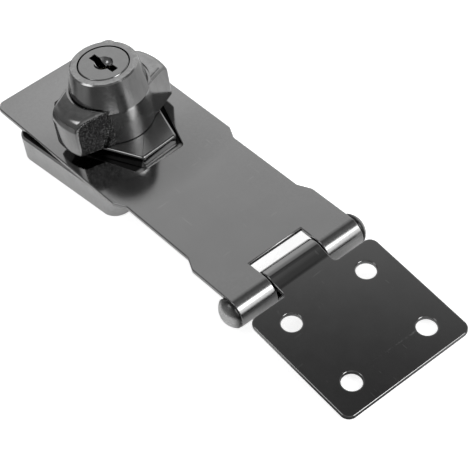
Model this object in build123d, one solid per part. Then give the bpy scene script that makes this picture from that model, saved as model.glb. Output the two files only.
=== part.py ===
from build123d import *
from math import asin, atan2, cos, degrees, hypot, radians, sin, sqrt, tan
import os

# A keyed turn-knob hasp lock. Millimetres, +Z up. The origin is on the knob's axis
# in the plane that the lock's base stands on, and +X runs along the strap to the hinge.

# Sheet and strap
sheet = 1.2
strap_wide = 35.0
strap_waist = 31.8
strap_back = 27.9
wide_front = 20.9
waist_start = 24.3
waist_end = 47.2
hinge_start = 50.8
strap_corner = 2.4
notch_round = 1.3

# Play of the strap on the neck, as it lies: the strap sits a little to one side
# of the knob's axis, and the lock is turned a few degrees under it
strap_shift = 0.5
lock_turn = 4.0

# Hinge
pin_ahead = 64.0
knuckle_radius = 3.8
pin_fit = 0.05
strap_curl_angle = 285.0
cutout_front = 58.4
tongue_width = 14.4
tongue_gap = 0.28
head_radius = 3.7
head_height = 2.5
head_edge = 0.5

# Leaf, its lengths measured from the pin's axis along the leaf. It is cut a little
# wider than the strap, and its holes keep their distance from its end and sides
leaf_extra = 0.4
leaf_width = strap_wide + leaf_extra
leaf_shoulder = 5.7
leaf_length = 37.75
leaf_corner = 2.2
tongue_round = 0.8
rise_angle = 15.0
rise_radius = 12.0
leaf_curl_angle = 285.0
leaf_hole = 4.7
leaf_hole_first = 11.9
leaf_hole_end = 6.65
leaf_hole_side = 7.025
leaf_hole_pitch = leaf_length - leaf_hole_end - leaf_hole_first
leaf_hole_across = leaf_width - 2 * leaf_hole_side

# Base
base_height = 7.2
base_back = 19.0
base_front = 17.5
base_width = 34.6
base_corner = 4.0
base_wall = 2.2
base_top = 2.2
base_edge = 0.6
mount_hole = 4.0
mount_head = 7.0
mount_square = 25.6
mount_boss = 8.4

# Neck
neck_height = 3.35
neck_length = 32.0
neck_tip = 10.4
neck_taper = 20.0
neck_corner = 0.9
neck_edge = 0.35
slot_play = 1.7
slot_corner = 1.2
neck_screw_out = 12.6
neck_screw_hole = 2.5
neck_screw_reach = 2.4
neck_screw_head = 4.4
neck_screw_head_height = 1.5
neck_screw_slot = 0.7

# Knob
knob_gap = 0.2
wing_radius = 15.0
wing_tip = 9.0
wing_taper = 20.0
wing_height = 10.15
wing_shoulder = 3.3
wing_slope = 10.0
wing_edge = 1.1
wing_root = 3.0
barrel_radius = 9.6
cone_foot_height = 9.15
cone_foot_radius = 9.75
cone_top_radius = 8.05
knob_height = 16.7
knob_rim = 0.3
foot_groove_width = 0.5
foot_groove_depth = 0.45

# Spigot, which turns in the neck and the base
spigot_radius = 7.0
spigot_fit = 0.05
spigot_bore = 4.9
spigot_flat = 6.3
spigot_below = 0.7

# Plug and its wafers
plug_radius = 5.45
plug_fit = 0.05
plug_head_radius = 6.05
plug_head_gap = 0.25
plug_head_height = 2.6
plug_floor = 1.0
plug_edge = 0.2
tail_radius = 3.5
keyway_length = 8.2
keyway_width = 1.7
keyway_offset = 0.35
keyway_overlap = 0.2
keyway_below = 0.9
dimple_radius = 2.3
dimple_depth = 1.5
wafer_count = 4
wafer_pitch = 2.6
wafer_first = 2.1
wafer_thickness = 1.1
wafer_width = 4.0
wafer_gap = 0.05
wafer_window_length = 6.8
wafer_window_width = 2.2
wafer_travel = 0.6
ear_length = 1.3
ear_reach = 3.6
ear_start = -2.2
pocket_end = 2.3
pocket_height = 1.5
wafer_groove = 0.9
groove_play = 0.15
spring_wire = 0.22
spring_coil = 0.9
spring_turns = 3.0

# Bolt under the plug and the clip that holds the plug down
nib_offset = 1.45
nib_radius = 0.9
nib_play = 0.1
bolt_thickness = 1.7
bolt_width = 6.4
bolt_gap = 0.1
bolt_lift = 0.35
bolt_short = 0.25
tail_gap = 0.2
clip_land = 0.3
notch_play = 0.25
plug_clip_thickness = 0.6
plug_clip_radius = 4.6
tail_groove = 0.7
clip_gap = 0.1
cover_thickness = 0.85

# Pieces that hold the knob in the base
cone_washer_sheet = 0.4
cone_washer_rise = 0.25
cone_washer_radius = 9.4
washer_gap = 0.05
stop_thickness = 0.85
stop_radius = 9.4
stop_tab_radius = 12.3
stop_tab_width = 5.0
stop_tab_angle = 225.0
stop_play = 0.3
stop_rib = 2.0
washer_room = 0.8
knob_clip_thickness = 0.7
knob_clip_radius = 8.3
knob_clip_groove = 1.0
clip_opening_angle = 70.0

# Angle that knob and plug turn through
quarter_turn = 90.0

# How close two places are when they count as one, where edges are picked
same = 0.01

# Heights that follow, from the base's foot up
strap_top = base_height + sheet
pin_height = strap_top - knuckle_radius
neck_top = base_height + neck_height
knob_foot = neck_top + knob_gap
knob_top = knob_foot + knob_height
wing_top = knob_foot + wing_height
cone_foot = knob_foot + cone_foot_height
bolt_bottom = base_height + bolt_lift
bolt_top = bolt_bottom + bolt_thickness
tail_bottom = bolt_top + tail_gap
plug_clip_bottom = tail_bottom + clip_land
floor_bottom = plug_clip_bottom + plug_clip_thickness + clip_gap
plug_bottom = floor_bottom + plug_floor + plug_fit
head_bottom = knob_top - plug_head_height
cone_washer_top = base_height - base_top - washer_gap
stop_top = cone_washer_top - cone_washer_sheet - cone_washer_rise
stop_bottom = stop_top - stop_thickness
knob_clip_top = stop_bottom - clip_gap
knob_clip_bottom = knob_clip_top - knob_clip_thickness
spigot_bottom = knob_clip_bottom - spigot_below
base_middle = (base_front - base_back) / 2
base_length = base_front + base_back
bolt_stroke = 2 * nib_offset * sin(radians(quarter_turn / 2))
wafer_heights = [plug_bottom + wafer_first + i * wafer_pitch for i in range(wafer_count)]


def to_lock(shape):
    """Turn a piece of the lock by the strap's play."""
    return Rot(0, 0, lock_turn) * shape


def ring(outer, inner, bottom, height):
    """A flat ring about the knob's axis."""
    return Pos(0, 0, bottom) * extrude(Circle(outer) - Circle(inner), height)


def disc(radius, bottom, height):
    """A plain disc about the knob's axis."""
    return Pos(0, 0, bottom) * extrude(Circle(radius), height)


def block(length, width, bottom, height, x=0.0, y=0.0):
    """A box centred on x and y that stands on a height."""
    return Pos(x, y, bottom) * extrude(Rectangle(length, width), height)


def hexagon(half_length, half_tip, taper, corner):
    """The long hexagon that the neck and the strap's slot share."""
    half_middle = half_tip + half_length * tan(radians(taper))
    outline = Polygon(
        (half_length, -half_tip),
        (half_length, half_tip),
        (0, half_middle),
        (-half_length, half_tip),
        (-half_length, -half_tip),
        (0, -half_middle),
        align=None,
    )
    return fillet(outline.vertices(), corner)


def curled_sheet(run, curl, slope, sweep_radius):
    """Half section of a sheet that ends in a curl about the origin.

    The sheet comes in along +X at the level of the curl's top, or falls to a lower
    level through a slope and a second, opposite arc when a slope is given.
    """
    inner = knuckle_radius - sheet
    start = 90.0 - slope
    outer_arc = CenterArc((0, 0), knuckle_radius, start, curl)
    inner_arc = CenterArc((0, 0), inner, start, curl)
    edges = [outer_arc, inner_arc, Line(outer_arc @ 1, inner_arc @ 1)]
    if slope > 0:
        reach = knuckle_radius + sweep_radius
        centre = (reach * sin(radians(slope)), reach * cos(radians(slope)))
        top = CenterArc(centre, sweep_radius, 270.0 - slope, slope)
        under = CenterArc(centre, sweep_radius + sheet, 270.0 - slope, slope)
        edges += [top, under]
        top_end, under_end = top @ 1, under @ 1
    else:
        top_end, under_end = outer_arc @ 0, inner_arc @ 0
    top_run = Line(top_end, (run, top_end.Y))
    under_run = Line(under_end, (run, under_end.Y))
    edges += [top_run, under_run, Line(top_run @ 1, under_run @ 1)]
    return make_face(edges)


def sheet_solid(face, width):
    """The section drawn out to the sheet's full width."""
    return extrude(Plane.XZ * face, width / 2, both=True)


def notched_blank():
    """Plan of the strap: wide at the lock, a waist, and wide at the hinge."""
    wide = strap_wide / 2
    waist = strap_waist / 2
    front = pin_ahead + knuckle_radius + sheet
    side = [
        (wide_front, wide),
        (waist_start, waist),
        (waist_end, waist),
        (hinge_start, wide),
    ]
    upper = [(-strap_back, wide)] + side + [(front, wide)]
    lower = [(x, -y) for x, y in upper]
    outline = Polygon(*lower, *reversed(upper), align=None)
    notches = [v for v in outline.vertices() if wide_front - same < v.X < hinge_start + same]
    outline = fillet(notches, notch_round)
    ends = [v for v in outline.vertices() if v.X < -strap_back + same]
    return fillet(ends, strap_corner)


def strap():
    """Folded strap: flat sheet with the slot, a cut-out, and two knuckles."""
    section = curled_sheet(pin_ahead + strap_back, strap_curl_angle, 0.0, 0.0)
    bent = Pos(pin_ahead, 0, pin_height) * Rot(0, 0, 180) * sheet_solid(section, strap_wide)
    body = bent & extrude(notched_blank(), strap_top)
    half_length = neck_length / 2 + slot_play
    taper = radians(neck_taper)
    half_tip = neck_tip / 2 + slot_play * (1 - sin(taper)) / cos(taper)
    slot = extrude(hexagon(half_length, half_tip, neck_taper, slot_corner), 2 * strap_top)
    cut_length = 2 * (pin_ahead - cutout_front)
    cutout = block(2 * cut_length, tongue_width + 2 * tongue_gap, 0, 2 * strap_top)
    body -= Pos(0, -strap_shift, 0) * slot
    body -= Pos(cutout_front + cut_length, 0, 0) * cutout
    return Pos(0, strap_shift, 0) * body


def leaf_level():
    """Height of the leaf's top face over the pin's axis."""
    return (knuckle_radius + rise_radius) * cos(radians(rise_angle)) - rise_radius


def leaf_droop():
    """Angle at which the leaf's far edge meets the plane of the base's foot."""
    under = leaf_level() - sheet
    return degrees(atan2(under, leaf_length) + asin(pin_height / hypot(leaf_length, under)))


def leaf_blank():
    """Plan of the leaf: a narrow tongue that widens to the screw plate."""
    plate = Pos((leaf_shoulder + leaf_length) / 2, 0) * RectangleRounded(
        leaf_length - leaf_shoulder, leaf_width, leaf_corner
    )
    back = -knuckle_radius - sheet
    middle = (back + leaf_shoulder + leaf_corner) / 2
    tongue = Pos(middle, 0) * Rectangle(leaf_shoulder + leaf_corner - back, tongue_width)
    outline = plate + tongue
    inside = [
        v
        for v in outline.vertices()
        if abs(v.X - leaf_shoulder) < same and abs(abs(v.Y) - tongue_width / 2) < same
    ]
    outline = fillet(inside, tongue_round)
    first = leaf_hole_first + leaf_hole_pitch / 2
    holes = Pos(first, 0) * GridLocations(leaf_hole_pitch, leaf_hole_across, 2, 2)
    return outline - [place * Circle(leaf_hole / 2) for place in holes]


def leaf():
    """Screw leaf that droops from the pin until its far edge rests."""
    section = curled_sheet(leaf_length, leaf_curl_angle, rise_angle, rise_radius)
    tall = 2 * knuckle_radius + 2 * sheet
    body = sheet_solid(section, leaf_width) & Pos(0, 0, -tall / 2) * extrude(leaf_blank(), tall)
    return Pos(pin_ahead, strap_shift, pin_height) * Rot(0, leaf_droop(), 0) * body


def hinge_pin():
    """Pin through the knuckles with a domed head upset on each end."""
    radius = knuckle_radius - sheet - pin_fit
    half = strap_wide / 2
    dome = (head_radius**2 + (head_height - head_edge) ** 2) / (2 * (head_height - head_edge))
    profile = [
        Line((0, 0), (radius, 0)),
        Line((radius, 0), (radius, half)),
        Line((radius, half), (head_radius, half)),
        Line((head_radius, half), (head_radius, half + head_edge)),
        RadiusArc((head_radius, half + head_edge), (0, half + head_height), -dome),
        Line((0, half + head_height), (0, 0)),
    ]
    end = revolve(make_face(profile), Axis.Y)
    pin = end + mirror(end, Plane.XZ)
    return Pos(pin_ahead, strap_shift, pin_height) * pin


def mount_places():
    """Centres of the four screws that hold the base, in a square about the knob's axis."""
    return GridLocations(mount_square, mount_square, 2, 2)


def neck_screw_places():
    """Centres of the two screws that hold the neck."""
    return GridLocations(2 * neck_screw_out, 1, 2, 1)


def lock_base():
    """Cast base: a shallow shell, open below, with screw bosses and stop ribs."""
    plan = RectangleRounded(base_length, base_width, base_corner)
    body = Pos(base_middle, 0, 0) * extrude(plan, base_height)
    body = chamfer(body.faces().sort_by(Axis.Z)[-1].outer_wire().edges(), base_edge)
    inner = RectangleRounded(
        base_length - 2 * base_wall, base_width - 2 * base_wall, base_corner - base_wall
    )
    body -= Pos(base_middle, 0, 0) * extrude(inner, base_height - base_top)
    for place in mount_places():
        body += place * extrude(Circle(mount_boss / 2), base_height - base_top)
    rib_out = stop_tab_radius + stop_play
    rib_in = stop_radius + washer_room
    rib_height = base_height - base_top - stop_bottom
    beside = stop_tab_width / 2 + stop_play + stop_rib / 2
    for angle, side in ((stop_tab_angle, -1), (stop_tab_angle + quarter_turn, 1)):
        rib = block(rib_out - rib_in, stop_rib, stop_bottom, rib_height, (rib_out + rib_in) / 2)
        body += Rot(0, 0, angle) * Pos(0, side * beside, 0) * rib
    seat = (mount_head - mount_hole) / 2
    for place in mount_places():
        body -= place * extrude(Circle(mount_hole / 2), base_height)
        body -= place * Pos(0, 0, base_height - seat / 2) * Cone(
            mount_hole / 2, mount_head / 2, seat, align=(Align.CENTER, Align.CENTER, Align.CENTER)
        )
    for place in neck_screw_places():
        body -= place * extrude(Circle(neck_screw_hole / 2 + pin_fit), base_height)
    body -= disc(spigot_radius + spigot_fit, 0, base_height)
    return to_lock(body)


def neck_block():
    """Hexagonal neck with the spigot's bore and a bolt notch for each position."""
    plan = hexagon(neck_length / 2, neck_tip / 2, neck_taper, neck_corner)
    body = extrude(plan, neck_height)
    body = chamfer(body.faces().sort_by(Axis.Z)[-1].outer_wire().edges(), neck_edge)
    body = Pos(0, 0, base_height) * body
    body -= disc(spigot_radius + spigot_fit, base_height, neck_height)
    deep = spigot_radius - bolt_short + bolt_stroke + notch_play
    notch = block(
        deep, bolt_width + 2 * notch_play, base_height, bolt_top + bolt_gap - base_height, deep / 2
    )
    body -= notch
    body -= Rot(0, 0, quarter_turn) * notch
    for place in neck_screw_places():
        body -= place * disc(neck_screw_hole / 2, base_height, neck_screw_reach)
    return to_lock(body)


def neck_screws():
    """Two cheese-head screws, driven up from inside the base."""
    seat = base_height - base_top
    screws = []
    for place in neck_screw_places():
        head = disc(neck_screw_head / 2, seat - neck_screw_head_height, neck_screw_head_height)
        cut = neck_screw_head_height / 2
        head -= block(neck_screw_head, neck_screw_slot, seat - neck_screw_head_height, cut)
        shank = disc(neck_screw_hole / 2, seat, base_top + neck_screw_reach)
        screws.append(to_lock(place * (head + shank)))
    return Compound(children=screws)


def wing_plan():
    """Plan of one wing: straight sides that spread towards the barrel."""
    slope = tan(radians(wing_taper))
    tip = wing_tip / 2
    middle = tip + sqrt(wing_radius**2 - tip**2) * slope
    beyond = wing_radius + wing_edge
    near = middle - wing_root * slope
    far = middle - beyond * slope
    return Polygon(
        (near, -wing_root),
        (-near, -wing_root),
        (-far, -beyond),
        (far, -beyond),
        align=None,
    )


def wing_crown(radius):
    """Height of the wings' sloping top at a distance from the knob's axis."""
    slope = radians(wing_slope)
    shoulder_start = wing_radius - wing_shoulder * (1 - sin(slope))
    return wing_top - wing_shoulder * (1 - cos(slope)) + (shoulder_start - radius) * tan(slope)


def wings():
    """Two wings with round ends and shoulders, each cut from a turned blank, edges eased."""
    shoulder_start = wing_radius - wing_shoulder * (1 - sin(radians(wing_slope)))
    shoulder_top = (shoulder_start, wing_crown(shoulder_start))
    blank = [
        Line((0, knob_foot), (wing_radius, knob_foot)),
        Line((wing_radius, knob_foot), (wing_radius, wing_top - wing_shoulder)),
        RadiusArc((wing_radius, wing_top - wing_shoulder), shoulder_top, -wing_shoulder),
        Line(shoulder_top, (0, wing_crown(0))),
        Line((0, wing_crown(0)), (0, knob_foot)),
    ]
    turned = revolve(Plane.XZ * make_face(blank), Axis.Z)
    wing = turned & Pos(0, 0, knob_foot) * extrude(wing_plan(), 2 * wing_height)
    sides = [f for f in wing.faces().filter_by(GeomType.PLANE) if abs(f.normal_at().X) > same]
    eased = [
        e
        for side in sides
        for e in side.edges()
        if e.center().Z > knob_foot + same and e.center().Y < -wing_root - same
    ]
    wing = fillet(eased, wing_edge)
    return wing + Rot(0, 0, 180) * wing


def cone_radius(height):
    """Radius of the knob's cone at a height."""
    share = (height - cone_foot) / (knob_top - cone_foot)
    return cone_foot_radius + share * (cone_top_radius - cone_foot_radius)


def turn_knob():
    """Cast knob: wings, barrel and cone, with a hollow spigot below."""
    body = wings()
    foot = cone_radius(wing_top)
    groove_inner = barrel_radius - foot_groove_width
    groove_bottom = wing_crown(foot) - foot_groove_depth
    body -= ring(foot + foot_groove_width, groove_inner, groove_bottom, wing_height)
    body += disc(barrel_radius, knob_foot, cone_foot_height)
    cone = Pos(0, 0, (cone_foot + knob_top) / 2) * Cone(
        cone_foot_radius, cone_top_radius, knob_top - cone_foot
    )
    rim = cone.edges().filter_by(GeomType.CIRCLE).sort_by(Axis.Z)[-1]
    body += chamfer(rim, knob_rim)
    body += disc(spigot_radius, spigot_bottom, knob_foot - spigot_bottom)
    body -= disc(plug_head_radius + plug_head_gap, head_bottom - plug_fit, plug_head_height + 1)
    body -= disc(plug_radius + plug_fit, plug_bottom - plug_fit, knob_top - plug_bottom)
    body -= disc(tail_radius + plug_fit, floor_bottom, plug_floor)
    body -= disc(spigot_bore, spigot_bottom, floor_bottom - spigot_bottom)
    body -= block(
        3 * spigot_radius, bolt_width + 2 * bolt_gap, bolt_bottom - bolt_gap,
        bolt_thickness + 2 * bolt_gap,
    ) & disc(barrel_radius, spigot_bottom, knob_foot - spigot_bottom)
    grooves_top = wafer_heights[-1] + wafer_thickness
    grooves_bottom = wafer_heights[0] - wafer_thickness
    for turn in (0, quarter_turn):
        groove = block(
            2 * (plug_radius + wafer_groove), wafer_width + 2 * groove_play, grooves_bottom,
            grooves_top - grooves_bottom,
        )
        body -= Rot(0, 0, turn) * groove
    flat = block(2 * spigot_radius, 4 * spigot_radius, spigot_bottom, stop_top - spigot_bottom)
    for side in (1, -1):
        body -= Pos(side * (spigot_flat + spigot_radius), 0, 0) * flat
    body -= ring(
        2 * spigot_radius, spigot_radius - knob_clip_groove, knob_clip_bottom - clip_gap / 2,
        knob_clip_thickness + clip_gap,
    )
    return to_lock(body)


def key_plug():
    """Turned plug with keyway, wafer slots, spring pockets, tail and nib."""
    body = disc(plug_radius, plug_bottom, knob_top - plug_bottom)
    head = disc(plug_head_radius, head_bottom, plug_head_height)
    body += chamfer(head.edges().sort_by(Axis.Z)[-1], plug_edge)
    body += disc(tail_radius, tail_bottom, plug_bottom - tail_bottom)
    body -= ring(
        2 * tail_radius, tail_radius - tail_groove, plug_clip_bottom - clip_gap / 2,
        plug_clip_thickness + clip_gap,
    )
    nib_height = tail_bottom - bolt_bottom - bolt_gap
    nib = disc(nib_radius, tail_bottom - nib_height, nib_height)
    body += Rot(0, 0, -90 - quarter_turn / 2) * Pos(nib_offset, 0, 0) * nib
    bottom = plug_bottom + keyway_below
    for side in (1, -1):
        body -= block(
            (keyway_length + keyway_overlap) / 2, keyway_width, bottom, knob_top - bottom,
            side * (keyway_length - keyway_overlap) / 4, side * keyway_offset / 2,
        )
    bowl = (dimple_radius**2 + dimple_depth**2) / (2 * dimple_depth)
    body -= Pos(0, 0, knob_top - dimple_depth + bowl) * Sphere(bowl)
    for index, height in enumerate(wafer_heights):
        clear = wafer_thickness + 2 * wafer_gap
        cut = block(3 * plug_radius, wafer_width + 2 * wafer_gap, height - clear / 2, clear)
        reach = ear_reach + 2 * wafer_gap
        pocket_start = ear_start - wafer_travel - 2 * wafer_gap
        cut += block(
            pocket_end - pocket_start, reach, height - pocket_height / 2, pocket_height,
            (pocket_end + pocket_start) / 2, reach / 2,
        )
        body -= Rot(0, 0, 180 * (index % 2)) * cut
    return to_lock(body)


def wafer(index):
    """Flat wafer with round ends, a key window and an ear for its spring."""
    bottom = wafer_heights[index] - wafer_thickness / 2
    body = disc(plug_radius - wafer_gap, bottom, wafer_thickness)
    body &= block(3 * plug_radius, wafer_width, bottom, wafer_thickness)
    body += block(
        ear_length, ear_reach, bottom, wafer_thickness, ear_start + ear_length / 2, ear_reach / 2
    )
    body -= block(wafer_window_length, wafer_window_width, bottom, wafer_thickness)
    return to_lock(Rot(0, 0, 180 * (index % 2)) * body)


def wafer_spring(index):
    """Coil spring between the wafer's ear and the end of its pocket."""
    start = ear_start + ear_length + spring_wire / 2
    length = pocket_end - start - spring_wire / 2
    coil = (spring_coil - spring_wire) / 2
    middle = (wafer_width / 2 + ear_reach) / 2
    path = Helix(pitch=length / spring_turns, height=length, radius=coil)
    wire = sweep(Plane(path @ 0, z_dir=path % 0) * Rectangle(spring_wire, spring_wire), path=path)
    laid = Pos(start, middle, wafer_heights[index]) * Rot(0, 90, 0) * wire
    return to_lock(Rot(0, 0, 180 * (index % 2)) * laid)


def open_ring(outer, inner, bottom, height):
    """A ring with a gap, so that it can be pushed sideways into its groove."""
    gap = Polygon(
        (0, 0),
        (2 * outer, -2 * outer * tan(radians(clip_opening_angle / 2))),
        (2 * outer, 2 * outer * tan(radians(clip_opening_angle / 2))),
        align=None,
    )
    body = ring(outer, inner, bottom, height) - Pos(0, 0, bottom) * extrude(gap, height)
    return to_lock(body)


def locking_bolt():
    """Slide with round ends and a cross slot for the plug's nib."""
    body = disc(spigot_radius - bolt_short, bolt_bottom, bolt_thickness)
    body &= block(3 * spigot_radius, bolt_width, bolt_bottom, bolt_thickness)
    middle = -nib_offset * sin(radians(quarter_turn / 2))
    near = -nib_offset * cos(radians(quarter_turn / 2)) + nib_radius + nib_play
    far = -nib_offset - nib_radius - nib_play
    width = 2 * (nib_radius + nib_play)
    slot = Pos(middle, (near + far) / 2, bolt_bottom) * extrude(
        Rot(0, 0, 90) * SlotOverall(near - far, width), bolt_thickness
    )
    return to_lock(body - slot)


def bolt_cover():
    """Disc pressed into the spigot below the bolt."""
    top = bolt_bottom - bolt_gap
    return to_lock(disc(spigot_bore, top - cover_thickness, cover_thickness))


def spring_washer():
    """Conical spring washer between the base and the stop washer."""
    inner = spigot_radius + 2 * spigot_fit
    low = stop_top
    section = Polygon(
        (inner, low + cone_washer_rise),
        (cone_washer_radius, low),
        (cone_washer_radius, low + cone_washer_sheet),
        (inner, low + cone_washer_rise + cone_washer_sheet),
        align=None,
    )
    return to_lock(revolve(Plane.XZ * section, Axis.Z))


def stop_washer():
    """Washer keyed to the spigot's flats, with the tab that stops the turn."""
    body = disc(stop_radius, stop_bottom, stop_thickness)
    tab = block(
        stop_tab_radius, stop_tab_width, stop_bottom, stop_thickness, stop_tab_radius / 2
    )
    body += Rot(0, 0, stop_tab_angle) * tab
    bore = disc(spigot_radius + spigot_fit, stop_bottom, stop_thickness)
    bore &= block(
        2 * (spigot_flat + spigot_fit), 4 * spigot_radius, stop_bottom, stop_thickness
    )
    return to_lock(body - bore)


pieces = {
    "hasp_strap": strap(),
    "hinge_leaf": leaf(),
    "hinge_pin": hinge_pin(),
    "lock_base": lock_base(),
    "neck_block": neck_block(),
    "neck_screws": neck_screws(),
    "turn_knob": turn_knob(),
    "key_plug": key_plug(),
    "plug_clip": open_ring(
        plug_clip_radius, tail_radius - tail_groove + plug_fit, plug_clip_bottom,
        plug_clip_thickness,
    ),
    "locking_bolt": locking_bolt(),
    "bolt_cover": bolt_cover(),
    "spring_washer": spring_washer(),
    "stop_washer": stop_washer(),
    "knob_clip": open_ring(
        knob_clip_radius, spigot_radius - knob_clip_groove + plug_fit, knob_clip_bottom,
        knob_clip_thickness,
    ),
}
for number in range(wafer_count):
    pieces[f"wafer_{number + 1}"] = wafer(number)
    pieces[f"wafer_spring_{number + 1}"] = wafer_spring(number)

os.makedirs("parts", exist_ok=True)
for name, shape in pieces.items():
    export_step(shape, f"parts/{name}.step")

print("leaf droop, degrees:", round(leaf_droop(), 3))
print("bolt stroke:", round(bolt_stroke, 3))
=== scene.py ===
import math

import bmesh
import bpy
from mathutils import Matrix, Vector


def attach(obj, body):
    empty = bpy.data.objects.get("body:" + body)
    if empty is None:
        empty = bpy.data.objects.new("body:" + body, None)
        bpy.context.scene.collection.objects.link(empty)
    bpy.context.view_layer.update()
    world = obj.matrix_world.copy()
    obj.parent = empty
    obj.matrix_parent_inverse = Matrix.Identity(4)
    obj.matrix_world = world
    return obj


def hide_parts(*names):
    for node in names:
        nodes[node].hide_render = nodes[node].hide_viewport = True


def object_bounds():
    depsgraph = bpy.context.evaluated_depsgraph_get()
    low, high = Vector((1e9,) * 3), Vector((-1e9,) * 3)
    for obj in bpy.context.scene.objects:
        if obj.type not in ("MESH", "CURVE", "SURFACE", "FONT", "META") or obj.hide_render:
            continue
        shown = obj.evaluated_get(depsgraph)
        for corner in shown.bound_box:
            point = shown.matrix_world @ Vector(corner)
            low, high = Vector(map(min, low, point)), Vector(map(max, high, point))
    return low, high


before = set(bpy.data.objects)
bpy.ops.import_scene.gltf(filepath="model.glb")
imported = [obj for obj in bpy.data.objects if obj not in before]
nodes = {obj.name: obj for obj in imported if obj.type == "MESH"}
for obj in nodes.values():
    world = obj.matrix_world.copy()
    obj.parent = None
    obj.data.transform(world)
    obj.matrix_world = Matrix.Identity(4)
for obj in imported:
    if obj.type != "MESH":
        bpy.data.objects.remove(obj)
cad_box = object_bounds()


# The cast base that screws to the door: a zinc casting with a pale satin nickel
# plate on its sides. Its top deck, in the gap round the neck, is painted near black
# as painted shade for that gap, and is left pale toward the hinge end.

class Field:
    """One output of a shader node. Arithmetic on it adds Math nodes."""

    def __init__(self, socket):
        self.socket = socket

    def node(self, kind, settings, inputs, output=0):
        """Any other node: its settings first, then values or links for its sockets."""
        made = self.socket.id_data.nodes.new(kind)
        for name, value in settings.items():
            if name == "stops":
                ramp = made.color_ramp
                while len(ramp.elements) < len(value):
                    ramp.elements.new(1.0)
                for element, (place, grey) in zip(ramp.elements, value):
                    element.position = place
                    element.color = (grey, grey, grey, 1.0)
            else:
                setattr(made, name, value)
        for name, value in inputs.items():
            if isinstance(value, Field):
                self.socket.id_data.links.new(value.socket, made.inputs[name])
            else:
                made.inputs[name].default_value = value
        return Field(made.outputs[output])

    def maths(self, operation, first, second):
        return self.node("ShaderNodeMath", {"operation": operation}, {0: first, 1: second})

    def __add__(self, other):
        return self.maths("ADD", self, other)

    def __radd__(self, other):
        return self.maths("ADD", other, self)

    def __sub__(self, other):
        return self.maths("SUBTRACT", self, other)

    def __rsub__(self, other):
        return self.maths("SUBTRACT", other, self)

    def __mul__(self, other):
        return self.maths("MULTIPLY", self, other)

    def __rmul__(self, other):
        return self.maths("MULTIPLY", other, self)

    def __abs__(self):
        return self.maths("ABSOLUTE", self, 0.0)

    def vector(self, operation, other=(0.0, 0.0, 0.0)):
        """Vector Math that gives a vector."""
        return self.node("ShaderNodeVectorMath", {"operation": operation}, {0: self, 1: other})

    def measure(self, operation, other=(0.0, 0.0, 0.0)):
        """Vector Math that gives a number, such as a length or a distance."""
        return self.node("ShaderNodeVectorMath", {"operation": operation}, {0: self, 1: other}, 1)

    def part(self, axis):
        """One coordinate of a vector: 0 for X, 1 for Y, 2 for Z."""
        return self.node("ShaderNodeSeparateXYZ", {}, {"Vector": self}, axis)

    def noise(self, scale, detail=2.0, stretch=(1.0, 1.0, 1.0)):
        """Smooth noise from 0 to 1, with scale in grains for each metre."""
        place = self.vector("MULTIPLY", stretch)
        return self.node("ShaderNodeTexNoise", {}, {"Vector": place, "Scale": scale, "Detail": detail})

    def blend(self, low, high):
        """A colour from low to high as this field goes from 0 to 1. A lone number is a grey."""
        ends = [(end, end, end) if isinstance(end, float) else end for end in (low, high)]
        ends = [end if isinstance(end, Field) else (*end, 1.0) for end in ends]
        return self.node("ShaderNodeMix", {"data_type": "RGBA"}, {"Factor": self, 6: ends[0], 7: ends[1]}, 2)


def step(value, low, high):
    """0 below one value and 1 above another, with a soft change between them."""
    return value.node(
        "ShaderNodeMapRange", {"interpolation_type": "SMOOTHSTEP"},
        {"Value": value, "From Min": low, "From Max": high},
    )


def metal(name, base, rough, relief, worn_and_sheen=0.42, rub=lambda at: 0.7):
    """A metal given by functions of the place on it: its colour, its roughness and its
    relief in metres. Its edges are rubbed to a given grey, as far as rub says: wear, and where
    that grey is set pale, as on the strap, also a painted highlight along the edges."""
    material = bpy.data.materials.new(name)
    material.use_nodes = True
    tree = material.node_tree
    shader = tree.nodes["Principled BSDF"]
    shader.inputs["Metallic"].default_value = 1.0
    place = Field(tree.nodes.new("ShaderNodeTexCoord").outputs["Object"])
    edge = Field(tree.nodes.new("ShaderNodeNewGeometry").outputs["Pointiness"])
    # The edge mask: wear, and where the edge grey is pale, also a painted highlight on the edges.
    rubbed_and_sheen = rub(place) * step(edge, 0.52, 0.62) * step(place.noise(1400.0, 3.0), 0.40, 0.62)
    tree.links.new(rubbed_and_sheen.blend(base(place), worn_and_sheen).socket, shader.inputs["Base Color"])
    tree.links.new((rough(place) + 0.10 * rubbed_and_sheen).socket, shader.inputs["Roughness"])
    bump = place.node("ShaderNodeBump", {}, {"Strength": 1.0, "Distance": 1.0, "Height": relief(place)})
    tree.links.new(bump.socket, shader.inputs["Normal"])
    return material


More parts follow.
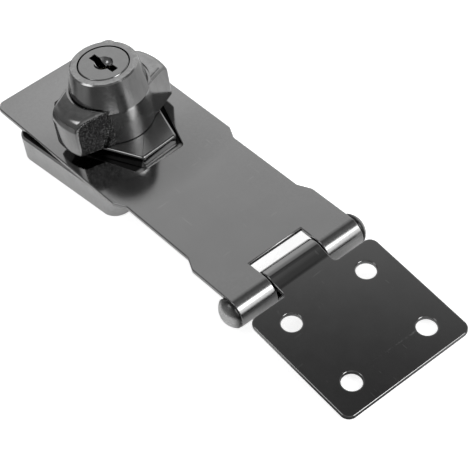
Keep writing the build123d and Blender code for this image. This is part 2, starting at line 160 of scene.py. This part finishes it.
def eased(node, name, body, material, width, sharp=30.0):
    """A piece with the outline of its solid, with each outer edge sharper than an angle
    in degrees rounded over a width in metres, as tooling leaves it."""
    mesh = nodes[node].data.copy()
    mesh.name = name
    form = bmesh.new()
    form.from_mesh(mesh)
    bmesh.ops.remove_doubles(form, verts=form.verts, dist=1e-6)
    bmesh.ops.dissolve_limit(form, angle_limit=math.radians(0.6), verts=form.verts, edges=form.edges)
    edges = [
        edge for edge in form.edges
        if len(edge.link_faces) == 2 and edge.is_convex and edge.calc_face_angle() > math.radians(sharp)
    ]
    bmesh.ops.bevel(
        form, geom=edges, offset=width, offset_type="OFFSET", segments=3, profile=0.5,
        affect="EDGES", clamp_overlap=False, loop_slide=True,
    )
    form.to_mesh(mesh)
    form.free()
    mesh.materials.clear()
    mesh.materials.append(material)
    mesh.shade_smooth()
    mesh.set_sharp_from_angle(angle=math.radians(35.0))
    piece = bpy.data.objects.new(name, mesh)
    bpy.context.scene.collection.objects.link(piece)
    weight = piece.modifiers.new("even_shading", "WEIGHTED_NORMAL")
    weight.keep_sharp = True
    bpy.context.view_layer.update()
    shaded = bpy.data.meshes.new_from_object(piece.evaluated_get(bpy.context.evaluated_depsgraph_get()))
    piece.modifiers.clear()
    piece.data = shaded
    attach(piece, body)
    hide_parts(node)


painted_shade_height = (0.0070, 0.0071)
painted_shade_end = (0.0152, 0.0162)


def painted_shade_deck(place):
    """1 on the base's top deck round the neck, where shade is painted in, 0 on its sides and toward its hinge
    end.
    """
    return step(place.part(2), *painted_shade_height) * (1.0 - step(place.part(0), *painted_shade_end))


def casting_colour(place):
    mottle = 0.6 * place.noise(260.0, 4.0) + 0.4 * place.noise(1900.0)
    # The deck round the neck gets near black 0.016: painted shade of the gap, not the plate's colour.
    return painted_shade_deck(place).blend(mottle.blend(0.26, 0.52), 0.016)


casting = metal(
    "satin_nickel_casting",
    base=casting_colour,
    rough=lambda at: 0.24 + 0.16 * at.noise(1600.0, 3.0),
    relief=lambda at: 0.000012 * at.noise(3500.0) + 0.00006 * at.noise(240.0, 3.0),
    # No rubbed edges on the deck, where shade is painted in.
    rub=lambda at: 0.7 - 0.7 * painted_shade_deck(at),
)
eased("lock_base", "base_casting", "lock", casting, width=0.00015)


# The hexagonal neck, a small zinc casting polished and plated in black nickel. Two
# cheese-head screws of bright zinc-plated steel hold it to the base from below.

def facing(place):
    """The way the surface faces, from the same node as its place."""
    return Field(place.socket.node.outputs["Normal"])


def upward(place):
    """1 on faces that look up, 0 on the rest."""
    return step(facing(place).part(2), 0.97, 0.995)


neck_finish = metal(
    "black_nickel_neck",
    base=lambda at: at.noise(220.0).blend(0.205, 0.25),
    rough=lambda at: 0.07 + 0.22 * upward(at) + 0.10 * at.noise(900.0, 4.0),
    relief=lambda at: 0.000008 * at.noise(1800.0, 4.0),
)
eased("neck_block", "neck_casting", "lock", neck_finish, width=0.00024)

zinc_plate = metal(
    "bright_zinc_plate",
    base=lambda at: at.noise(600.0).blend((0.58, 0.59, 0.61), (0.68, 0.69, 0.70)),
    rough=lambda at: 0.24 + 0.14 * at.noise(1500.0),
    relief=lambda at: 0.000005 * at.noise(2500.0),
)
eased("neck_screws", "neck_screw_pair", "lock", zinc_plate, width=0.00012)


# The strap, blanked from 1.2 mm steel sheet, curled into two knuckles, polished
# and plated in black nickel. Blanking rolls its edges over.

knuckle_start = (0.0600, 0.0625)
slot_crown = 0.0008
crown_reach = (0.004, 0.029)


def grain(at):
    """Faint polishing grain that runs along the sheet."""
    return at.noise(900.0, 3.0, (1.0, 12.0, 12.0))


def marks(at, scale):
    """Sparse hairlines and specks left by packing and handling, 1 on each of them."""
    lines = step(at.noise(scale, 1.0, (0.5, 9.0, 9.0)), 0.755, 0.77)
    across = step(at.noise(scale, 1.0, (8.0, 0.7, 0.7)), 0.76, 0.775)
    specks = step(at.noise(14.0 * scale, 1.0), 0.78, 0.83)
    return lines + 0.7 * across + 0.8 * specks


def from_axis(place):
    """Distance from the knob's axis."""
    return place.vector("MULTIPLY", (1.0, 1.0, 0.0)).measure("LENGTH")


def strap_relief(place):
    """Grain and slow waves. Punching the slot leaves the sheet a little crowned round it."""
    waves = 0.0000012 * grain(place) + 0.000004 * place.noise(60.0)
    return waves - slot_crown * step(from_axis(place), *crown_reach)


sheet_finish = metal(
    "black_nickel_sheet",
    base=lambda at: (0.12 * marks(at, 240.0)).blend(at.noise(120.0).blend(0.245, 0.27), 0.60),
    rough=lambda at: (
        0.07 + 0.04 * at.noise(300.0) + 0.04 * grain(at) + 0.10 * step(at.part(0), *knuckle_start)
    ),
    relief=strap_relief,
    # Paler rubbed edges on the sheet: partly wear, partly a painted highlight along its rolled edges.
    worn_and_sheen=0.62,
)
eased("hasp_strap", "strap_pressing", "lock", sheet_finish, width=0.00025)


# The screw leaf, of the same sheet with the same plate: one curled tongue and four
# punched screw holes with rolled-over rims. It turns on the pin.

leaf_finish = metal(
    "black_nickel_leaf",
    base=lambda at: (0.20 * marks(at, 200.0)).blend(at.noise(150.0).blend(0.215, 0.245), 0.70),
    rough=lambda at: 0.06 + 0.04 * at.noise(300.0) + 0.03 * grain(at),
    relief=lambda at: 0.0000012 * grain(at) + 0.000004 * at.noise(70.0),
)
eased("hinge_leaf", "leaf_pressing", "leaf", leaf_finish, width=0.00030)


# The hinge pin, turned from steel, with a satin surface under its thin dark plate.
# Its two domed heads are upset over the knuckles' ends.

pin_middle = 0.0005
head_foot = (0.0178, 0.0194)


def dome_clear_of_painted_shade(place):
    """0 on the shank and where each head meets its knuckle, which are painted near black as the shade there, 1 on
    the dome's end.
    """
    return step(abs(place.part(1) - pin_middle), *head_foot)


pin_finish = metal(
    "dark_plated_pin",
    # Near black 0.03 on the shank and in a ring where each head meets its knuckle: painted shade of the gap
    # between them.
    base=lambda at: dome_clear_of_painted_shade(at).blend(0.03, at.noise(500.0).blend(0.36, 0.46)),
    rough=lambda at: 0.22 + 0.12 * at.noise(1200.0),
    relief=lambda at: 0.000006 * at.noise(900.0),
)
eased("hinge_pin", "hinge_rivet", "lock", pin_finish, width=0.00015, sharp=40.0)


# The turn knob, a zinc casting with two wings and a cone, tumbled and plated in
# black nickel. One long side of each wing keeps the roughness of the mould.

wing_root = (0.0035, 0.0060)
barrel_skin = (0.0097, 0.0100)
barrel_top = (0.0190, 0.0196)


def wing_sides(place):
    """1 on the long side of each wing that drags on the mould, 0 on the rest."""
    side = step(abs(facing(place).part(0)), 0.80, 0.90)
    out = step(abs(place.part(1)), *wing_root)
    drag = 1.0 - step(place.part(0) * place.part(1), -0.000003, 0.000003)
    return side * out * drag


def barrel(place):
    """1 on the barrel between the wings, which is brushed and not polished, 0 on the rest."""
    return (1.0 - step(from_axis(place), *barrel_skin)) * (1.0 - step(place.part(2), *barrel_top))


def knob_colour(place):
    skin = place.noise(600.0, 5.0, (1.0, 1.0, 0.35)).blend(0.20, 0.33)
    # On those sides the colour is speckled from near black to pale grey: the rough skin of the mould, and partly
    # painted glints that its pits would catch.
    cast_speckle_and_glints = step(place.noise(3000.0, 3.0), 0.44, 0.66).blend(0.07, 0.45)
    return wing_sides(place).blend(skin, cast_speckle_and_glints)


knob_finish = metal(
    "black_nickel_casting",
    base=knob_colour,
    rough=lambda at: 0.06 + 0.14 * at.noise(900.0, 5.0) + 0.10 * barrel(at),
    relief=lambda at: 0.000010 * at.noise(600.0, 3.0) + 0.00003 * wing_sides(at) * at.noise(3000.0, 3.0),
)
for held in nodes["turn_knob"].material_slots:
    held.material = knob_finish


# What holds the knob in the base: a conical spring washer, a stop washer keyed to
# the spigot's flats and an open clip in the spigot's groove.

spring_steel = metal(
    "blued_spring_steel",
    base=lambda at: at.noise(700.0).blend((0.26, 0.26, 0.28), (0.36, 0.36, 0.38)),
    rough=lambda at: 0.28 + 0.14 * at.noise(1500.0),
    relief=lambda at: 0.000004 * at.noise(2500.0),
)
eased("spring_washer", "conical_washer", "knob", spring_steel, width=0.00006)
eased("stop_washer", "stop_washer_stamping", "knob", zinc_plate, width=0.00010)
eased("knob_clip", "knob_retaining_clip", "knob", spring_steel, width=0.00008)


# The lock's plug, turned brass under black nickel, with the stepped keyway and the
# centring dimple in its face. An open clip keeps it in the knob.

plug_finish = metal(
    "black_nickel_plug",
    base=lambda at: at.noise(400.0, 3.0).blend(0.225, 0.27),
    rough=lambda at: 0.13 + 0.08 * at.noise(1300.0),
    relief=lambda at: 0.000003 * at.noise(1500.0),
)
eased("key_plug", "plug_turned", "plug", plug_finish, width=0.00008)
eased("plug_clip", "plug_retaining_clip", "plug", spring_steel, width=0.00006)


# The locking bolt, a steel slide that the plug's nib drives into the neck, and the
# disc pressed in below it.

eased("locking_bolt", "locking_slide", "bolt", zinc_plate, width=0.00010)
eased("bolt_cover", "bolt_cover_disc", "knob", zinc_plate, width=0.00010)


# Four stamped brass wafers that hold the plug in the knob, each pushed by a small
# coil spring in a pocket of the plug.

brass = metal(
    "stamped_brass",
    base=lambda at: at.noise(900.0).blend((0.60, 0.49, 0.30), (0.72, 0.60, 0.40)),
    rough=lambda at: 0.26 + 0.12 * at.noise(1800.0),
    relief=lambda at: 0.000003 * at.noise(3000.0),
)
for number, body in enumerate(("wafer_a", "wafer_b", "wafer_c", "wafer_d"), 1):
    eased(f"wafer_{number}", f"wafer_stamping_{number}", body, brass, width=0.00006)
    for held in nodes[f"wafer_spring_{number}"].material_slots:
        held.material = spring_steel


# The studio floor: plain white card, which shows white to the camera and a little
# darker in polished metal, and keeps the lock's shadow.

def stage_plane(name, size, height):
    """A flat square for the studio, with an empty material of its own."""
    mesh = bpy.data.meshes.new(name)
    half = size / 2
    mesh.from_pydata([(-half, -half, 0), (half, -half, 0), (half, half, 0), (-half, half, 0)], [], [(0, 1, 2, 3)])
    made = bpy.data.objects.new(name, mesh)
    made.location = (0.0, 0.0, height)
    bpy.context.scene.collection.objects.link(made)
    material = bpy.data.materials.new(name)
    material.use_nodes = True
    mesh.materials.append(material)
    return made, material.node_tree


floor_height = cad_box[0][2] - 0.0001
shown_white = 0.82
mirrored_white = 0.45

floor, tree = stage_plane("studio_floor", size=8.0, height=floor_height)
shader = tree.nodes["Principled BSDF"]
shader.inputs["Base Color"].default_value = (0.75, 0.75, 0.75, 1)
shader.inputs["Roughness"].default_value = 0.9
shader.inputs["Specular IOR Level"].default_value = 0.0
path = tree.nodes.new("ShaderNodeLightPath")
camera_ray = Field(path.outputs["Is Camera Ray"])
glossy_ray = Field(path.outputs["Is Glossy Ray"])
white = shown_white * camera_ray + mirrored_white * glossy_ray
glow = camera_ray.node("ShaderNodeEmission", {}, {"Color": white, "Strength": 1.0})
both = camera_ray.node("ShaderNodeAddShader", {}, {0: Field(shader.outputs[0]), 1: glow})
tree.links.new(both.socket, tree.nodes["Material Output"].inputs["Surface"])


# The dark card laid on the floor round the lock, which polished metal shows and
# the camera doesn't. It is open beside the hinge and paler in front of the neck.

card_middle = (0.017, 0.0, 0.0)
card_half = (0.045, 0.018, 0.0)
card_fade = (0.004, 0.026)
hinge_window = (0.054, -0.032, 0.0)
window_fade = (0.018, 0.034)
neck_front = (-0.31, -0.95, 0.0)

card, tree = stage_plane("dark_floor_card", size=4.0, height=floor_height + 0.0002)
card.visible_camera = False
card.visible_diffuse = False
card.visible_shadow = False
place = Field(tree.nodes.new("ShaderNodeTexCoord").outputs["Object"])
offset = place.vector("SUBTRACT", card_middle)
away = offset.vector("ABSOLUTE").vector("SUBTRACT", card_half).vector("MAXIMUM").measure("LENGTH")
cover = 0.95 * step(away, *card_fade) * step(place.measure("DISTANCE", hinge_window), *window_fade)
front = offset.vector("NORMALIZE").measure("DOT_PRODUCT", (0.0, -1.0, 0.0))
paler = place.vector("NORMALIZE").measure("DOT_PRODUCT", neck_front)
shade = 0.60 - 0.49 * step(front, -0.35, 0.15) + 0.24 * step(paler, 0.86, 0.995)
clear = place.node("ShaderNodeBsdfTransparent", {}, {})
dark = place.node("ShaderNodeEmission", {}, {"Color": shade, "Strength": 1.0})
shown = place.node("ShaderNodeMixShader", {}, {0: cover, 1: clear, 2: dark})
tree.links.new(shown.socket, tree.nodes["Material Output"].inputs["Surface"])


# The studio light: a dome that is white low down behind the lock and grey overhead
# and in front, with a dimmer patch high up behind, and soft round panels to the
# right and to the left.

white_side_low = (-0.643, 0.766, 0.0)
white_side_high = (-0.743, 0.669, 0.0)

world = bpy.data.worlds.new("studio_world")
bpy.context.scene.world = world
world.use_nodes = True
tree = world.node_tree
direction = Field(tree.nodes.new("ShaderNodeTexCoord").outputs["Generated"])
height = direction.part(2)


def panel(azimuth, elevation, full, gone):
    """1 inside a round panel seen at an angle, 0 outside it, soft between the two radii."""
    a, e = math.radians(azimuth), math.radians(elevation)
    towards = (math.cos(a) * math.cos(e), math.sin(a) * math.cos(e), math.sin(e))
    aligned = direction.measure("DOT_PRODUCT", towards)
    return step(aligned, math.cos(math.radians(gone)), math.cos(math.radians(full)))


def profile(stops):
    """Brightness by height above the horizon, as pairs of the sine and the brightness."""
    return direction.node("ShaderNodeValToRGB", {"stops": stops}, {"Fac": height})


level = direction.vector("MULTIPLY", (1.0, 1.0, 0.0)).vector("NORMALIZE")
low = step(level.measure("DOT_PRODUCT", white_side_low), 0.1, 0.85)
high = step(level.measure("DOT_PRODUCT", white_side_high), 0.83, 0.94)
behind = low + (high - low) * step(height, 0.48, 0.60)
far = profile([
    (0.0, 1.0), (0.54, 1.12), (0.629, 1.04), (0.656, 0.94), (0.682, 0.88), (0.707, 0.79), (0.80, 0.60),
    (0.857, 0.54), (0.872, 0.52), (0.88, 0.34), (0.893, 0.22), (0.905, 0.15), (0.925, 0.26), (1.0, 0.22),
])
near = profile([
    (0.0, 0.14), (0.10, 0.20), (0.35, 0.24), (0.55, 0.26), (0.72, 0.24), (0.85, 0.24), (0.92, 0.32), (1.0, 0.22),
])
dimmer_patch = 1.0 - 0.5 * panel(100.0, 63.0, 4.0, 16.0)
light = (near + behind * (far - near)) * dimmer_patch
for brightness, azimuth, elevation, full, gone in (
    (8.5, 23.0, 42.0, 3.0, 14.0),
    (2.2, 22.0, 22.0, 6.0, 18.0),
    (2.4, -110.0, 49.0, 6.0, 16.0),
    (0.25, -22.0, 30.0, 8.0, 28.0),
):
    light = light + brightness * panel(azimuth, elevation, full, gone)
camera_ray = Field(tree.nodes.new("ShaderNodeLightPath").outputs["Is Camera Ray"])
sky = light + camera_ray * (1.0 - light)
tree.links.new(sky.socket, tree.nodes["Background"].inputs["Color"])


# The camera stands where the photograph was taken: well above the lock, to its
# right, with a long lens and a slight roll.

camera_place = (0.29282, -0.15453, 0.29619)
azimuth = math.radians(58.2)
elevation = math.radians(45.15)
roll = math.radians(-10.23)
back = Vector((
    math.sin(azimuth) * math.cos(elevation), -math.cos(azimuth) * math.cos(elevation), math.sin(elevation),
))
right = Vector((math.cos(azimuth), math.sin(azimuth), 0.0))
up = back.cross(right)
right, up = math.cos(roll) * right + math.sin(roll) * up, math.cos(roll) * up - math.sin(roll) * right
view = bpy.data.cameras.new("photo_camera")
view.lens = 140.0
view.sensor_width = 36.0
view.clip_start = 0.01
camera = bpy.data.objects.new("photo_camera", view)
camera.matrix_world = Matrix.Translation(camera_place) @ Matrix((right, up, back)).transposed().to_4x4()
bpy.context.scene.collection.objects.link(camera)
bpy.context.scene.camera = camera
bpy.context.scene.view_settings.view_transform = "Standard"
